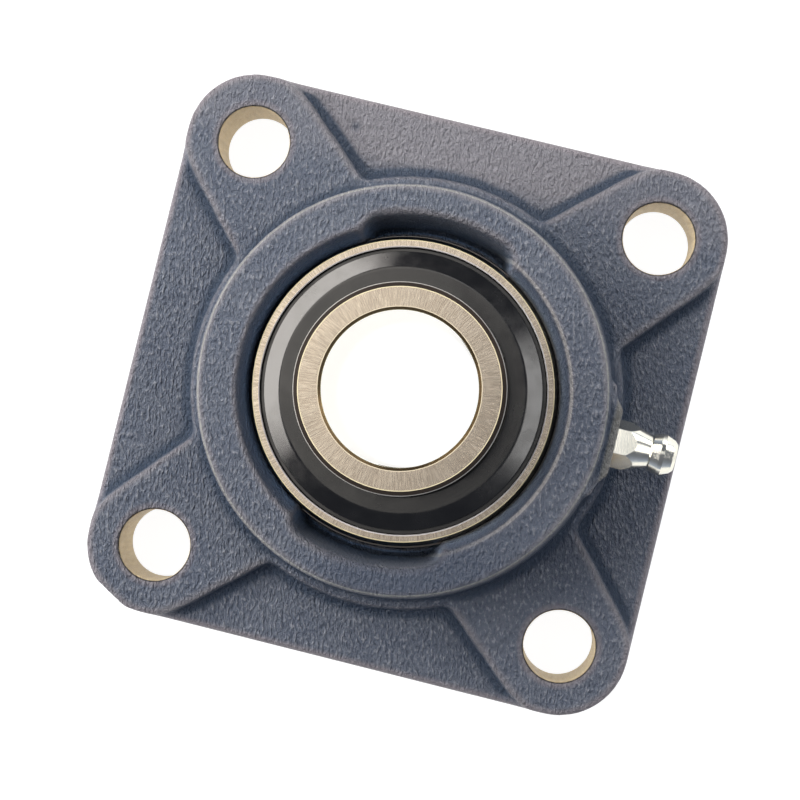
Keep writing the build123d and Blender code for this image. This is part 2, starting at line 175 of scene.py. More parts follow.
# %% Groups and materials
def new_group(name, inputs, outputs):
    """A new node group with named sockets. Hands back its graph, its inputs and its outputs."""
    tree = bpy.data.node_groups.new(name, "ShaderNodeTree")
    for label, value in inputs.items():
        socket = tree.interface.new_socket(label, in_out="INPUT", socket_type="NodeSocketFloat")
        socket.default_value = value
    for label, kind in outputs.items():
        tree.interface.new_socket(label, in_out="OUTPUT", socket_type="NodeSocket" + kind)
    start = tree.nodes.new("NodeGroupInput")
    end = tree.nodes.new("NodeGroupOutput")
    return Graph(tree), start.outputs, end


def start_material(name):
    """A new material. Hands back it, its graph and its Principled shader."""
    material = bpy.data.materials.new(name)
    material.use_nodes = True
    shader = material.node_tree.nodes["Principled BSDF"]
    return material, Graph(material.node_tree), shader


print("group and material calls ready")

# %% [markdown]
# ## Group: place of a point
# Turned and ground parts are described by a distance from the shaft axis, a height and a direction round
# the axis. The group works these out from the part's own coordinates, so the marks stay on a piece when it
# turns. The direction is a point on a unit circle, which has no seam where an angle would jump from 360 to
# 0 degrees.

# %% Place group
place_graph, _, place_end = new_group(
    "Place", {}, {"Radius": "Float", "Height": "Float", "Direction": "Vector", "Point": "Vector"}
)
object_point = place_graph.add("ShaderNodeTexCoord", out="Object")
place_point = place_graph.add("ShaderNodeVectorMath", {0: object_point, "Scale": 1 / MM}, operation="SCALE")
flat_point = place_graph.add("ShaderNodeVectorMath", {0: place_point, 1: (1, 1, 0)}, operation="MULTIPLY")
place_graph.fill(
    place_end,
    {
        "Radius": place_graph.add("ShaderNodeVectorMath", {0: flat_point}, out="Value", operation="LENGTH"),
        "Height": place_graph.add("ShaderNodeSeparateXYZ", {0: place_point}, out=2),
        "Direction": place_graph.add("ShaderNodeVectorMath", {0: flat_point}, operation="NORMALIZE"),
        "Point": place_point,
    },
)
PLACE = place_graph.tree
print("group", PLACE.name)

# %% [markdown]
# ## Group: band
# A band is white where a value lies within a half width of its middle and fades out over a soft edge. It
# stands for a line left by a tool, a worn rim, a washer print, a painted highlight or a line of painted
# shade. One group serves every such line, and the two calls below place it by its middle or by its two
# edges.

# %% Band group
band_graph, band_in, band_end = new_group(
    "Band", {"Value": 0.0, "Middle": 0.0, "Half width": 1.0, "Softness": 0.1}, {"Mask": "Float"}
)
off_middle = band_graph.calc("ABSOLUTE", band_graph.calc("SUBTRACT", band_in["Value"], band_in["Middle"]))
outer_edge = band_graph.calc("ADD", band_in["Half width"], band_in["Softness"])
band_graph.fill(band_end, {"Mask": band_graph.step(off_middle, outer_edge, band_in["Half width"])})
BAND = band_graph.tree


def band(graph, value, middle, half, soft):
    """A band of a value in a material, given by its middle and half its width."""
    return graph.group(BAND, Value=value, Middle=middle, Half_width=half, Softness=soft)["Mask"]


def band_between(graph, value, start, end, soft=0.02):
    """A band of a value in a material, given by its two edges."""
    return band(graph, value, (start + end) / 2, (end - start) / 2, soft)


print("group", BAND.name)

# %% [markdown]
# ## Group: turned and ground marks
# A grinding wheel or a turning tool leaves lines that follow its path. On the face of a ring the wheel
# crosses the face, so the lines run outwards. On a turned face they run round the axis. Noise stretched
# along the path gives both kinds: it changes quickly across the lines and hardly at all along them. The
# smudge is slow noise in all directions, as oil and fingers leave it.

# %% Marks group
OUTWARD_LINES = 34.0
OUTWARD_DRIFT = 0.35
TURNED_LINES = 9.0
marks_graph, marks_in, marks_end = new_group(
    "Machining marks", {"Fineness": 1.0}, {"Outward": "Float", "Round": "Float", "Smudge": "Float"}
)
marks_place = marks_graph.group(PLACE)
spread = marks_graph.calc("MULTIPLY", marks_in["Fineness"], OUTWARD_LINES)
outward_point = marks_graph.add(
    "ShaderNodeVectorMath", {0: marks_place["Direction"], "Scale": spread}, operation="SCALE"
)
drift = marks_graph.calc("MULTIPLY", marks_place["Radius"], OUTWARD_DRIFT)
lifted = marks_graph.add("ShaderNodeCombineXYZ", {"Z": drift})
outward = marks_graph.add("ShaderNodeVectorMath", {0: outward_point, 1: lifted}, operation="ADD")
turned_x = marks_graph.calc("MULTIPLY", marks_place["Radius"], TURNED_LINES)
turned_z = marks_graph.calc("MULTIPLY", marks_place["Height"], TURNED_LINES)
turned_lines = marks_graph.add("ShaderNodeCombineXYZ", {"X": turned_x, "Z": turned_z})
slow_turn = marks_graph.add(
    "ShaderNodeVectorMath", {0: marks_place["Direction"], 1: turned_lines}, operation="ADD"
)
marks_graph.fill(
    marks_end,
    {
        "Outward": marks_graph.noise(outward, 1.6, 3.0, 0.6),
        "Round": marks_graph.noise(slow_turn, 1.0, 2.0, 0.6),
        "Smudge": marks_graph.noise(marks_place["Point"], 0.22, 3.0, 0.6),
    },
)
MARKS = marks_graph.tree
print("group", MARKS.name)

# %% [markdown]
# ## Casting paint: where a point lies
# Paint on a casting isn't one colour. It is thin on edges, worn on rims and missing in the drilled holes,
# and the material also paints in light and shade: painted shade in corners and in the seat, and painted
# highlights on edges and rims. All of these follow distances, so the first step is to measure each point:
# its x, y and height, its distance from the nearest bolt axis, and how far it lies past the bolt axes
# towards the flange's outline. The attribute `hollow` is measured on the mesh further down.

# %% Paint places
PAINT, paint, paint_shader = start_material("Casting paint")
paint_place = paint.group(PLACE)
paint_point = paint_place["Point"]
radius = paint_place["Radius"]
height = paint_place["Height"]
hollow_here = paint.add("ShaderNodeAttribute", out="Fac", attribute_name="hollow")
x_part = paint.add("ShaderNodeSeparateXYZ", {0: paint_point}, out=0)
y_part = paint.add("ShaderNodeSeparateXYZ", {0: paint_point}, out=1)
to_bolt_x = paint.calc("SUBTRACT", paint.calc("ABSOLUTE", x_part), BOLT_PLACE)
to_bolt_y = paint.calc("SUBTRACT", paint.calc("ABSOLUTE", y_part), BOLT_PLACE)


def paint_length(first, second):
    """The length of a flat vector from its two parts."""
    squares = [paint.calc("POWER", part, 2.0) for part in (first, second)]
    return paint.calc("SQRT", paint.calc("ADD", *squares))


to_bolt = paint_length(to_bolt_x, to_bolt_y)
past_bolts = paint_length(paint.calc("MAXIMUM", to_bolt_x, 0.0), paint.calc("MAXIMUM", to_bolt_y, 0.0))
print("paint is measured from the bolt axes at", BOLT_PLACE, "mm")

# %% [markdown]
# ## Casting paint: print of the sand
# The housing is poured in a sand mould, so its skin keeps the print of the sand grains under the paint. In
# the photo the grains are about half a millimetre wide and lie drawn out up and down the picture. A Mapping
# node turned by the picture's angle draws the noise out in that direction. Modelling every grain as a mesh
# would take millions of faces, so the grains are a bump and a change of tone: dark paint in the pits and
# light tops.

# %% Paint grain
DRAWN_OUT = (1.0, 2.1, 1.0)
drawn_inputs = {"Vector": paint_point, "Rotation": (0, 0, DRAW_ANGLE), "Scale": DRAWN_OUT}
drawn_point = paint.add("ShaderNodeMapping", drawn_inputs, vector_type="TEXTURE")
grain = paint.noise(drawn_point, 2.0, 3.0, 0.6)
specks = paint.noise(drawn_point, 3.4, 2.0, 0.6)
waves = paint.noise(paint_point, 0.16, 2.0, 0.5)
grain_pits = paint.step(grain, 0.46, 0.3)
grain_tops = paint.step(grain, 0.52, 0.68)
print("grain is drawn out", DRAWN_OUT[1], "times")

# %% [markdown]
# ## Casting paint: masks of distance
# Each mask is white where one tone lies, and several of them are painted light and shade. The seat is
# painted darker and bluer as painted shade, with a lighter blue shade tone deeper in, and its right wall,
# which the lamps reach, is painted lighter. The side panel at the top is painted lighter as painted light.
# The rim of the hub is worn and also painted brighter as a painted highlight, and so are the edges of the
# seat and the entry on the lit right side. The lower half of the hub face is painted darker as painted
# shade. The flange's outline and the rims of the holes are lighter, and the cast boss of the nipple carries
# a painted highlight. Each range below gives where a mask starts and where it is full.

# %% Paint masks
SEAT_SHADE = (28.4, 26.8)
SEAT_DEPTH = (26.6, 22.0)
SEAT_EDGE = 25.5
ENTRY_EDGE = 27.35
LIT_SIDE = (4.0, 18.0)
HUB_FACE = (26.2, 26.8)
TOP_PANEL = (33.0, 39.0)
PANEL_HEIGHT = (13.8, 13.0)
# Where the painted shade on the lower half of the hub face lies.
LOWER_SHADE_Y = (-12.0, -28.0)
LOWER_SHADE_X = (-16.0, 2.0)
LOWER_SHADE_HEIGHT = (26.0, 26.6)
OUTLINE = (10.2, 11.7)
OUTLINE_HEIGHT = (5.0, 12.5)
BOSS_X = (33.9, 34.6)
BOSS_Y = (10.0, 7.5)
BOSS_HEIGHT = (14.5, 16.5)

# Painted shade in the seat: darker and bluer towards the axis, with a lighter blue shade tone deeper in.
painted_seat_shade = paint.step(radius, *SEAT_SHADE)
painted_deep_shade = paint.every(painted_seat_shade, paint.step(height, *SEAT_DEPTH))
lit_side = paint.step(x_part, *LIT_SIDE)
seat_line = band(paint, radius, SEAT_EDGE, 0.12, 0.12)
entry_line = band(paint, radius, ENTRY_EDGE, 0.15, 0.2)
# Worn edges of the seat and the entry, also painted brighter as a painted highlight on the lit right side
# only.
worn_and_highlit_lines = paint.every(paint.calc("MAXIMUM", seat_line, entry_line), lit_side)
# The hub rim is worn and also painted brighter as a painted highlight.
worn_and_highlit_rim = paint.every(band(paint, radius, HUB_RIM, 0.1, 0.16), paint.step(height, *HUB_FACE))
# Painted light: the side panel at the top is lighter.
painted_top_light = paint.every(paint.step(y_part, *TOP_PANEL), paint.step(height, *PANEL_HEIGHT, 0.35, 1.0))
# Painted shade: the lower half of the hub face is darker.
painted_lower_shade = paint.every(
    paint.step(y_part, *LOWER_SHADE_Y), paint.step(x_part, *LOWER_SHADE_X), paint.step(height, *LOWER_SHADE_HEIGHT)
)
outline = paint.every(paint.step(past_bolts, *OUTLINE), paint.step(height, *OUTLINE_HEIGHT, 0.25, 1.0))
boss_y = paint.step(paint.calc("ABSOLUTE", y_part), *BOSS_Y)
# Painted highlight on the cast boss of the nipple.
painted_boss_highlight = paint.every(paint.step(x_part, *BOSS_X), boss_y, paint.step(height, *BOSS_HEIGHT))
in_hole = paint.step(to_bolt, BOLT_RADIUS + 0.08, BOLT_RADIUS + 0.04)
hole_line = band(paint, to_bolt, BOLT_RADIUS + 0.16, 0.07, 0.06)
hole_rim = band(paint, to_bolt, BOLT_RADIUS + 0.6, 0.3, 0.5)
# Painted shade in corners and creases.
painted_corner_shade = paint.step(hollow_here, 0.03, 0.2)
# Edges lighter: partly thin paint, partly a painted highlight.
thin_and_highlit_edges = paint.step(hollow_here, -0.04, -0.3)
print("nodes for the masks:", len(PAINT.node_tree.nodes))

# %% [markdown]
# ## Casting paint: tones in layers
# A painter would lay one tone over another, and the material does the same. Each layer has a mask, a share
# by which it covers what is under it, and a tone. The order matters: the dark line round a bolt hole comes
# last, because it is the paint's torn edge where the drill came through.

# %% Paint tones
SLATE_DARK = (0.088, 0.106, 0.146, 1)
SLATE_LIGHT = (0.104, 0.121, 0.158, 1)
paint_layers = [
    (grain_pits, 0.7, (0.035, 0.044, 0.066, 1)),
    (grain_tops, 0.75, (0.27, 0.28, 0.31, 1)),
    # painted shade: the seat darker and bluer
    (painted_seat_shade, 0.6, (0.055, 0.085, 0.15, 1)),
    # painted shade: deep in the seat a lighter blue shade tone
    (painted_deep_shade, 0.85, (0.12, 0.19, 0.32, 1)),
    # painted light: the top side panel lighter
    (painted_top_light, 0.65, (0.27, 0.25, 0.26, 1)),
    # painted light: the seat's right wall, which the lamps reach, lighter
    (paint.every(painted_deep_shade, lit_side), 0.8, (0.28, 0.32, 0.38, 1)),
    # worn edge lines, painted brighter as a highlight on the lit side
    (worn_and_highlit_lines, 0.7, (0.55, 0.54, 0.5, 1)),
    # painted shade: corners and creases darker
    (painted_corner_shade, 1.0, (0.034, 0.051, 0.083, 1)),
    # edges lighter: thin paint and a painted highlight
    (thin_and_highlit_edges, 0.6, (0.26, 0.24, 0.25, 1)),
    # painted shade: the lower half of the hub face darker
    (painted_lower_shade, 0.75, (0.035, 0.05, 0.085, 1)),
    (outline, 0.55, (0.24, 0.2, 0.22, 1)),
    (hole_rim, 0.2, (0.2, 0.16, 0.18, 1)),
    # painted highlight: the nipple's boss lighter and warmer
    (painted_boss_highlight, 0.6, (0.22, 0.21, 0.17, 1)),
    # worn hub rim, also painted brighter as a highlight
    (worn_and_highlit_rim, 0.45, (0.5, 0.5, 0.43, 1)),
    (hole_line, 0.9, (0.025, 0.02, 0.018, 1)),
]
paint_colour = paint.colour(paint.step(waves, 0.35, 0.65), SLATE_DARK, SLATE_LIGHT)
for mask, cover, tone in paint_layers:
    paint_colour = paint.colour(paint.calc("MULTIPLY", mask, cover), paint_colour, tone)
print("paint layers:", len(paint_layers))

# %% [markdown]
# ## Walls of the bolt holes
# The bolt holes are drilled after painting, so their walls are bare iron under a khaki film of rust
# protection. The film gathers in a dark yellow line at the foot. The holes belong to the same casting, so
# they share its material through a mask instead of having a material of their own.

# %% Hole walls
FILM_DARK = (0.6, 0.45, 0.22, 1)
FILM_LIGHT = (0.86, 0.7, 0.42, 1)
FILM_FOOT = (0.3, 0.25, 0.06, 1)
FOOT_HEIGHT = (0.45, 0.15)
drawn_down = paint.add("ShaderNodeVectorMath", {0: paint_point, 1: (1, 1, 0.12)}, operation="MULTIPLY")
hole_colour = paint.colour(paint.noise(drawn_down, 1.6, 3.0), FILM_DARK, FILM_LIGHT)
hole_colour = paint.colour(paint.step(height, *FOOT_HEIGHT), hole_colour, FILM_FOOT)
print("hole walls reach", BOLT_RADIUS + 0.08, "mm from a bolt axis")

# %% [markdown]
# ## Casting paint: shader
# The paint is a half gloss over rough iron, so its roughness follows the grain, and the drilled walls shine
# like metal. The bump reads the grain and a quarter of the finer specks.

# %% Paint shader
GRAIN_RELIEF = 1.3 * MM
relief = paint.calc("ADD", grain, paint.calc("MULTIPLY", specks, 0.25))
paint.fill(
    paint_shader,
    {
        "Base Color": paint.colour(in_hole, paint_colour, hole_colour),
        "Metallic": paint.calc("MULTIPLY", in_hole, 0.55),
        "Roughness": paint.step(grain, 0.3, 0.7, 0.3, 0.44),
        "Specular IOR Level": 0.5,
        "Normal": paint.add(
            "ShaderNodeBump", {"Strength": 1.0, "Distance": GRAIN_RELIEF, "Height": relief}
        ),
    },
)
print("material", PAINT.name, "nodes", len(PAINT.node_tree.nodes))

# %% [markdown]
# ## Bearing steel: bands of the rings
# Both rings are hardened steel with ground faces, and both share one steel, so one material serves them.
# Its bands are radii from the shaft axis: a dark chamfer at the bore, painted shade on the broken edges
# between face and side and on the outer ring's side, and painted highlights as thin bright lines where a
# broken edge would catch the light. Cutting these lines into the mesh would make slivers that the eye can't
# tell from a line of colour.

# %% Ring bands
BORE_EDGE = (0.2, 0.13, 0.06, 1)
EDGE_SHADE = (0.04, 0.03, 0.024, 1)
RING_SIDE_SHADE = (0.12, 0.11, 0.1, 1)
# A dark chamfer at the bore, then painted shade in the gaps by the rings and on the outer ring's side.
DARK_BANDS = [
    (12.56, 13.0, BORE_EDGE),
    (16.2, 16.88, EDGE_SHADE),
    (23.3, 23.5, EDGE_SHADE),
    (24.74, 27.0, RING_SIDE_SHADE),
]
# Painted highlights: thin bright lines on the broken edges of the rings.
PAINTED_HIGHLIGHTS = [
    (12.98, 13.09, (0.82, 0.7, 0.5, 1)),
    (16.08, 16.2, (0.9, 0.78, 0.5, 1)),
    (16.88, 17.05, (0.35, 0.33, 0.3, 1)),
    (23.5, 23.68, (0.85, 0.8, 0.78, 1)),
    (24.57, 24.72, (0.85, 0.74, 0.45, 1)),
]
print("dark bands", len(DARK_BANDS), "bright lines", len(PAINTED_HIGHLIGHTS))

# %% [markdown]
# ## Bearing steel: shader
# A ground face keeps fine lines across it and a warm, slightly dull shine. The lines change both its tone
# and its bump. The bore is honed, so it is smoother and paler than the faces, with a yellow band near its
# mouth. The painted highlight lines are a little less metallic, so that they stay bright from all round.

# %% Bearing steel
WARM_DARK = (0.54, 0.45, 0.35, 1)
WARM_LIGHT = (0.76, 0.66, 0.53, 1)
BORE_TONE = (0.95, 0.92, 0.82, 1)
BORE_MOUTH = (0.75, 0.62, 0.25, 1)
BORE_WALL = (12.56, 12.52)
BORE_MOUTH_HEIGHT = (35.0, 35.2)
BORE_ROUGHNESS = 0.1
STEEL, steel, steel_shader = start_material("Ground bearing steel")
steel_place = steel.group(PLACE)
steel_marks = steel.group(MARKS, Fineness=2.2)
streaks = steel_marks["Outward"]
face_colour = steel.colour(steel.step(streaks, 0.3, 0.7), WARM_DARK, WARM_LIGHT)
for start, end, tone in DARK_BANDS + PAINTED_HIGHLIGHTS:
    face_colour = steel.colour(band_between(steel, steel_place["Radius"], start, end), face_colour, tone)
# Mask of the painted highlight lines, which are made less metallic below.
bright = 0.0
for start, end, _ in PAINTED_HIGHLIGHTS:
    bright = steel.calc("MAXIMUM", bright, band_between(steel, steel_place["Radius"], start, end))
in_bore = steel.step(steel_place["Radius"], *BORE_WALL)
bore_colour = steel.colour(steel.step(steel_place["Height"], *BORE_MOUTH_HEIGHT), BORE_TONE, BORE_MOUTH)
face_roughness = steel.step(steel_marks["Smudge"], 0.3, 0.7, 0.19, 0.26)
steel.fill(
    steel_shader,
    {
        "Base Color": steel.colour(in_bore, face_colour, bore_colour),
        "Metallic": steel.calc("SUBTRACT", 1.0, steel.calc("MULTIPLY", bright, 0.7)),
        "Roughness": steel.add("ShaderNodeMix", {0: in_bore, 2: face_roughness, 3: BORE_ROUGHNESS}),
        "Normal": steel.add("ShaderNodeBump", {"Strength": 0.25, "Distance": 0.03 * MM, "Height": streaks}),
    },
)
print("material", STEEL.name, "nodes", len(STEEL.node_tree.nodes))

# %% [markdown]
# ## Blackened shield
# The shield over the seal is thin sheet pressed to shape and blackened in a hot bath. The bath leaves a
# dark and glossy skin that still reflects like metal, with faint turned lines from the press tool and
# grease smudges. So it is a metal with a very dark colour instead of black paint, which would reflect white
# at every angle.

# %% Shield
SHIELD_DARK = (0.075, 0.074, 0.074, 1)
SHIELD_LIGHT = (0.1, 0.098, 0.094, 1)
SHIELD, shield, shield_shader = start_material("Blackened sheet steel")
shield_marks = shield.group(MARKS, Fineness=1.0)
shield_bump = {"Strength": 0.12, "Distance": 0.03 * MM, "Height": shield_marks["Round"]}
shield.fill(
    shield_shader,
    {
        "Base Color": shield.colour(shield_marks["Smudge"], SHIELD_DARK, SHIELD_LIGHT),
        "Metallic": 1.0,
        "Roughness": shield.step(shield_marks["Smudge"], 0.3, 0.7, 0.16, 0.28),
        "Normal": shield.add("ShaderNodeBump", shield_bump),
    },
)
print("material", SHIELD.name)

# %% [markdown]
# ## Small steel parts
# Balls are polished to a mirror, the cage is pressed from soft sheet, the set screws are blackened alloy
# steel and the nipple is zinc plated with a faint yellow tint. They differ in tone, gloss and relief only,
# so one function makes them all.


# %% Small steel parts
def plain_metal(name, dark, light, roughness, bump):
    """A metal with machining marks and smudges."""
    material, graph, shader = start_material(name)
    marks = graph.group(MARKS, Fineness=1.0)
    bump_inputs = {"Strength": bump, "Distance": 0.04 * MM, "Height": marks["Round"]}
    graph.fill(
        shader,
        {
            "Base Color": graph.colour(marks["Smudge"], dark, light),
            "Metallic": 1.0,
            "Roughness": graph.step(marks["Smudge"], 0.3, 0.7, roughness, roughness + 0.12),
            "Normal": graph.add("ShaderNodeBump", bump_inputs),
        },
    )
    return material


BALL = plain_metal("Polished balls", (0.62, 0.62, 0.63, 1), (0.72, 0.72, 0.73, 1), 0.06, 0.02)
CAGE = plain_metal("Pressed cage", (0.38, 0.37, 0.36, 1), (0.5, 0.49, 0.47, 1), 0.3, 0.2)
SCREW = plain_metal("Blackened screws", (0.05, 0.05, 0.055, 1), (0.09, 0.09, 0.09, 1), 0.3, 0.3)
NIPPLE = plain_metal("Plated nipple", (0.80, 0.77, 0.66, 1), (0.92, 0.90, 0.80, 1), 0.12, 0.25)
print("small metals:", [m.name for m in (BALL, CAGE, SCREW, NIPPLE)])

# %% [markdown]
# ## Seal rubber
# The seal lip is black nitrile rubber, moulded on its steel plate. Rubber isn't a metal and hardly shines,
# so it has a dark base, a high roughness and the fine turned lines of its mould.

# %% Seal rubber
RUBBER_DARK = (0.012, 0.012, 0.013, 1)
RUBBER_LIGHT = (0.03, 0.028, 0.027, 1)
RUBBER, rubber, rubber_shader = start_material("Seal rubber")
rubber_marks = rubber.group(MARKS, Fineness=1.0)
rubber_bump = {"Strength": 0.3, "Distance": 0.05 * MM, "Height": rubber_marks["Round"]}
rubber.fill(
    rubber_shader,
    {
        "Base Color": rubber.colour(rubber_marks["Smudge"], RUBBER_DARK, RUBBER_LIGHT),
        "Roughness": rubber.step(rubber_marks["Smudge"], 0.3, 0.7, 0.5, 0.7),
        "Normal": rubber.add("ShaderNodeBump", rubber_bump),
    },
)
print("material", RUBBER.name)

# %% [markdown]
# ## A finish for every node
# The record names one material slot for each node. Walking over the nodes and their slots gives every piece
# its finish and leaves no surface plain.

# %% Finishes
SLOT_MATERIALS = {
    "casting_paint": PAINT,
    "bearing_steel": STEEL,
    "shield_steel": SHIELD,
    "ball_steel": BALL,
    "cage_steel": CAGE,
    "screw_steel": SCREW,
    "nipple_plating": NIPPLE,
    "seal_rubber": RUBBER,
}
finished = 0
for node in nodes.values():
    for slot in node.material_slots:
        slot.material = SLOT_MATERIALS[slot.material.name.split(".")[0]]
        finished += 1
print("slots finished:", finished)

# %% [markdown]
# ## Calls that turn a section
# A pressed or turned ring is one section swept round the shaft. Its corners are rounded first, because
# every bend of a real sheet has a radius that catches a thin line of light. A bevel modifier could round
# them too, but a rounded section keeps the flat bands between the bends exactly flat.


# %% Turned pieces
def rounded(corners, radii, steps=6, hold=0.06):
    """A closed section with a small arc at each corner. Points beside an arc keep the faces there flat."""
    points = []
    for number, (corner, bend) in enumerate(zip(corners, radii)):
        corner = Vector(corner)
        back = (Vector(corners[number - 1]) - corner).normalized()
        ahead = (Vector(corners[(number + 1) % len(corners)]) - corner).normalized()
        points.append(corner + back * (bend + hold))
        for part in np.linspace(0, 1, steps):
            points.append(corner + bend * (back * (1 - part) ** 2 + ahead * part**2))
        points.append(corner + ahead * (bend + hold))
    return points


def turned(name, section, steps=288):
    """A closed section of radius and height, turned round the shaft axis."""
    turns = np.linspace(0, 2 * np.pi, steps, endpoint=False)
    places = [(r * np.cos(a) * MM, r * np.sin(a) * MM, z * MM) for a in turns for r, z in section]
    size = len(section)
    faces = []
    for turn in range(steps):
        here, following = turn * size, (turn + 1) % steps * size
        for corner in range(size):
            beyond = (corner + 1) % size
            faces.append((here + corner, following + corner, following + beyond, here + beyond))
    mesh = bpy.data.meshes.new(name)
    mesh.from_pydata(places, [], faces)
    mesh.polygons.foreach_set("use_smooth", [True] * len(faces))
    mesh.set_sharp_from_angle(angle=math.radians(35))
    piece = bpy.data.objects.new(name, mesh)
    bpy.context.scene.collection.objects.link(piece)
    return piece


def wear(piece, material, body, slot, *replaced):
    """Gives a piece its finish, its body and the nodes it stands for."""
    piece.data.materials.append(material)
    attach(piece, body)
    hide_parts(*replaced)
    return piece


print("turning calls ready")

# %% [markdown]
# ## Shields with rolled bends
# The shield is pressed from half a millimetre sheet: a collar that grips the inner ring, a flat band and a
# cone that drops by 20 degrees towards the outer ring. The cone's angle decides what it mirrors, so it was
# found from the light in the photo. The section is given for the front, and the back shield is its mirror
# image.

# %% Shields
COLLAR_FOOT = 7.5
FLAT_TOP = 9.1
FLAT_UNDERSIDE = 8.6
shield_corners = [(17.01, COLLAR_FOOT), (17.01, FLAT_TOP), (20.147, FLAT_TOP), (22.797, 8.14)]
shield_corners += [(22.6, 7.66), (19.97, FLAT_UNDERSIDE), (17.51, FLAT_UNDERSIDE), (17.51, COLLAR_FOOT)]
shield_bends = [0.05, 0.4, 0.25, 0.1, 0.1, 0.2, 0.2, 0.05]
for side, name in ((1, "front"), (-1, "back")):
    section = [(p.x, SEAT_HEIGHT + side * p.y) for p in rounded(shield_corners, shield_bends)]
    section = section[::-side]
    piece = turned(f"{name}_shield", section)
    wear(piece, SHIELD, "inner", "shield_steel", f"{name}_flinger")
    print(piece.name, "faces", len(piece.data.polygons))

# %% [markdown]
# ## Skin of the casting
# Sand, iron and paint leave no sharp edge on a casting: every corner is rounded and every face is a little
# wavy, while the drilled and turned faces stay exact. A bevel on the exact mesh would round every edge
# alike and leave the faces perfectly flat. So the skin starts from the exact housing cut into even cells,
# which can then be smoothed and waved point by point.

# %% Cells of the skin
CELL = 0.6
exact = nodes["housing"]
rough = bpy.data.objects.new("Rough skin", exact.data.copy())
bpy.context.scene.collection.objects.link(rough)
remesh = rough.modifiers.new("Even cells", "REMESH")
remesh.mode = "VOXEL"
remesh.voxel_size = CELL * MM
bpy.context.view_layer.update()
skin_mesh = bpy.data.meshes.new_from_object(rough.evaluated_get(bpy.context.evaluated_depsgraph_get()))
bpy.data.objects.remove(rough)
verts = np.zeros(len(skin_mesh.vertices) * 3)
skin_mesh.vertices.foreach_get("co", verts)
verts = verts.reshape(-1, 3) / MM
edges = np.zeros(len(skin_mesh.edges) * 2, int)
skin_mesh.edges.foreach_get("vertices", edges)
edges = edges.reshape(-1, 2)
print("skin vertices", len(verts), "faces", len(skin_mesh.polygons))

# %% [markdown]
# ## Rounded edges
# Each pass moves a point part of the way to the middle of its neighbours, first inwards and then a little
# less outwards. Inward passes alone would shrink the casting, and this pair rounds the edges and leaves its
# size.


# %% Rounding
SMOOTH_PASSES = 5
INWARDS = 0.6
OUTWARDS = 0.5


def neighbour_shift(points):
    """For each point, the way to the middle of its neighbours."""
    total = np.zeros_like(points)
    count = np.zeros(len(points))
    for near, far in ((0, 1), (1, 0)):
        np.add.at(total, edges[:, near], points[edges[:, far]])
        np.add.at(count, edges[:, near], 1)
    return total / count[:, None] - points


soft = verts.copy()
for _ in range(SMOOTH_PASSES):
    soft += INWARDS * neighbour_shift(soft)
    soft -= OUTWARDS * neighbour_shift(soft)
print("largest rounding, mm:", round(float(np.linalg.norm(soft - verts, axis=1).max()), 2))

# %% [markdown]
# ## Machined faces stay exact
# The mounting face, the bolt holes, the seat with its entry and the tapped hole are cut by tools after
# casting, so they have neither waves nor soft edges. Each point near one of them goes back to the nearest
# point of the exact housing.

# %% Machined faces
HOLE_REACH = 0.35
MOUNTING_REACH = 0.5
ENTRY_REACH = 27.2
SEAT_TOP = 22.2
TAPPED_REACH = 3.4
TAPPED_START = 25.0
exact_places = [tuple(v.co / MM) for v in exact.data.vertices]
exact_faces = [tuple(p.vertices) for p in exact.data.polygons]
exact_surface = BVHTree.FromPolygons(exact_places, exact_faces)
from_bolt = np.hypot(np.abs(soft[:, 0]) - BOLT_PLACE, np.abs(soft[:, 1]) - BOLT_PLACE)
from_axis = np.hypot(soft[:, 0], soft[:, 1])
from_nipple = np.hypot(soft[:, 1], soft[:, 2] - NIPPLE_HEIGHT)
machined = (from_bolt < BOLT_RADIUS + HOLE_REACH) | (soft[:, 2] < MOUNTING_REACH)
machined |= (from_axis < ENTRY_REACH) & (soft[:, 2] < SEAT_TOP)
machined |= (from_nipple < TAPPED_REACH) & (soft[:, 0] > TAPPED_START)
for number in np.flatnonzero(machined):
    soft[number] = exact_surface.find_nearest(Vector(soft[number]))[0]
print("points on machined faces:", int(machined.sum()))

# %% [markdown]
# ## Waves of the sand mould
# A rammed sand mould gives way a little under the iron, which leaves slow waves of one to two centimetres.
# Three sines along three directions add up to a wave that doesn't repeat on the part. The wave only sinks
# the surface, and the result is cut off at the exact part's box, so the skin never grows past it.

# %% Waves
WAVE_HEIGHT = 0.015
MOULD_WAVES = [((1, 0.3, 0.5), 23, 0.4), ((-0.4, 1, 0.2), 17, 1.9), ((0.7, -0.6, 1), 11, 3.1)]
wave = np.zeros(len(soft))
for along, length, start in MOULD_WAVES:
    wave += np.sin(soft @ np.array(along) * 2 * np.pi / length + start)
cast = ~machined
soft[cast, 2] += (wave[cast] - len(MOULD_WAVES)) * WAVE_HEIGHT
soft = np.clip(soft, np.array(start_low) / MM, np.array(start_high) / MM)
skin_mesh.vertices.foreach_set("co", (soft * MM).ravel())
skin_mesh.update()
print("waves up to, mm:", round(float(np.abs(wave).max()) * WAVE_HEIGHT, 3))

# %% [markdown]
# ## Hollows and edges
# The paint is painted darker in corners as painted shade and lighter on edges, partly as thin paint and
# partly as a painted highlight. To find both, a copy of the skin is smoothed much further: where the copy
# lies outside the skin there is a hollow, and where it lies inside there is an edge. The distance is stored
# on each point for the paint to read. An ambient occlusion node would find the corners too, but it costs
# render time.

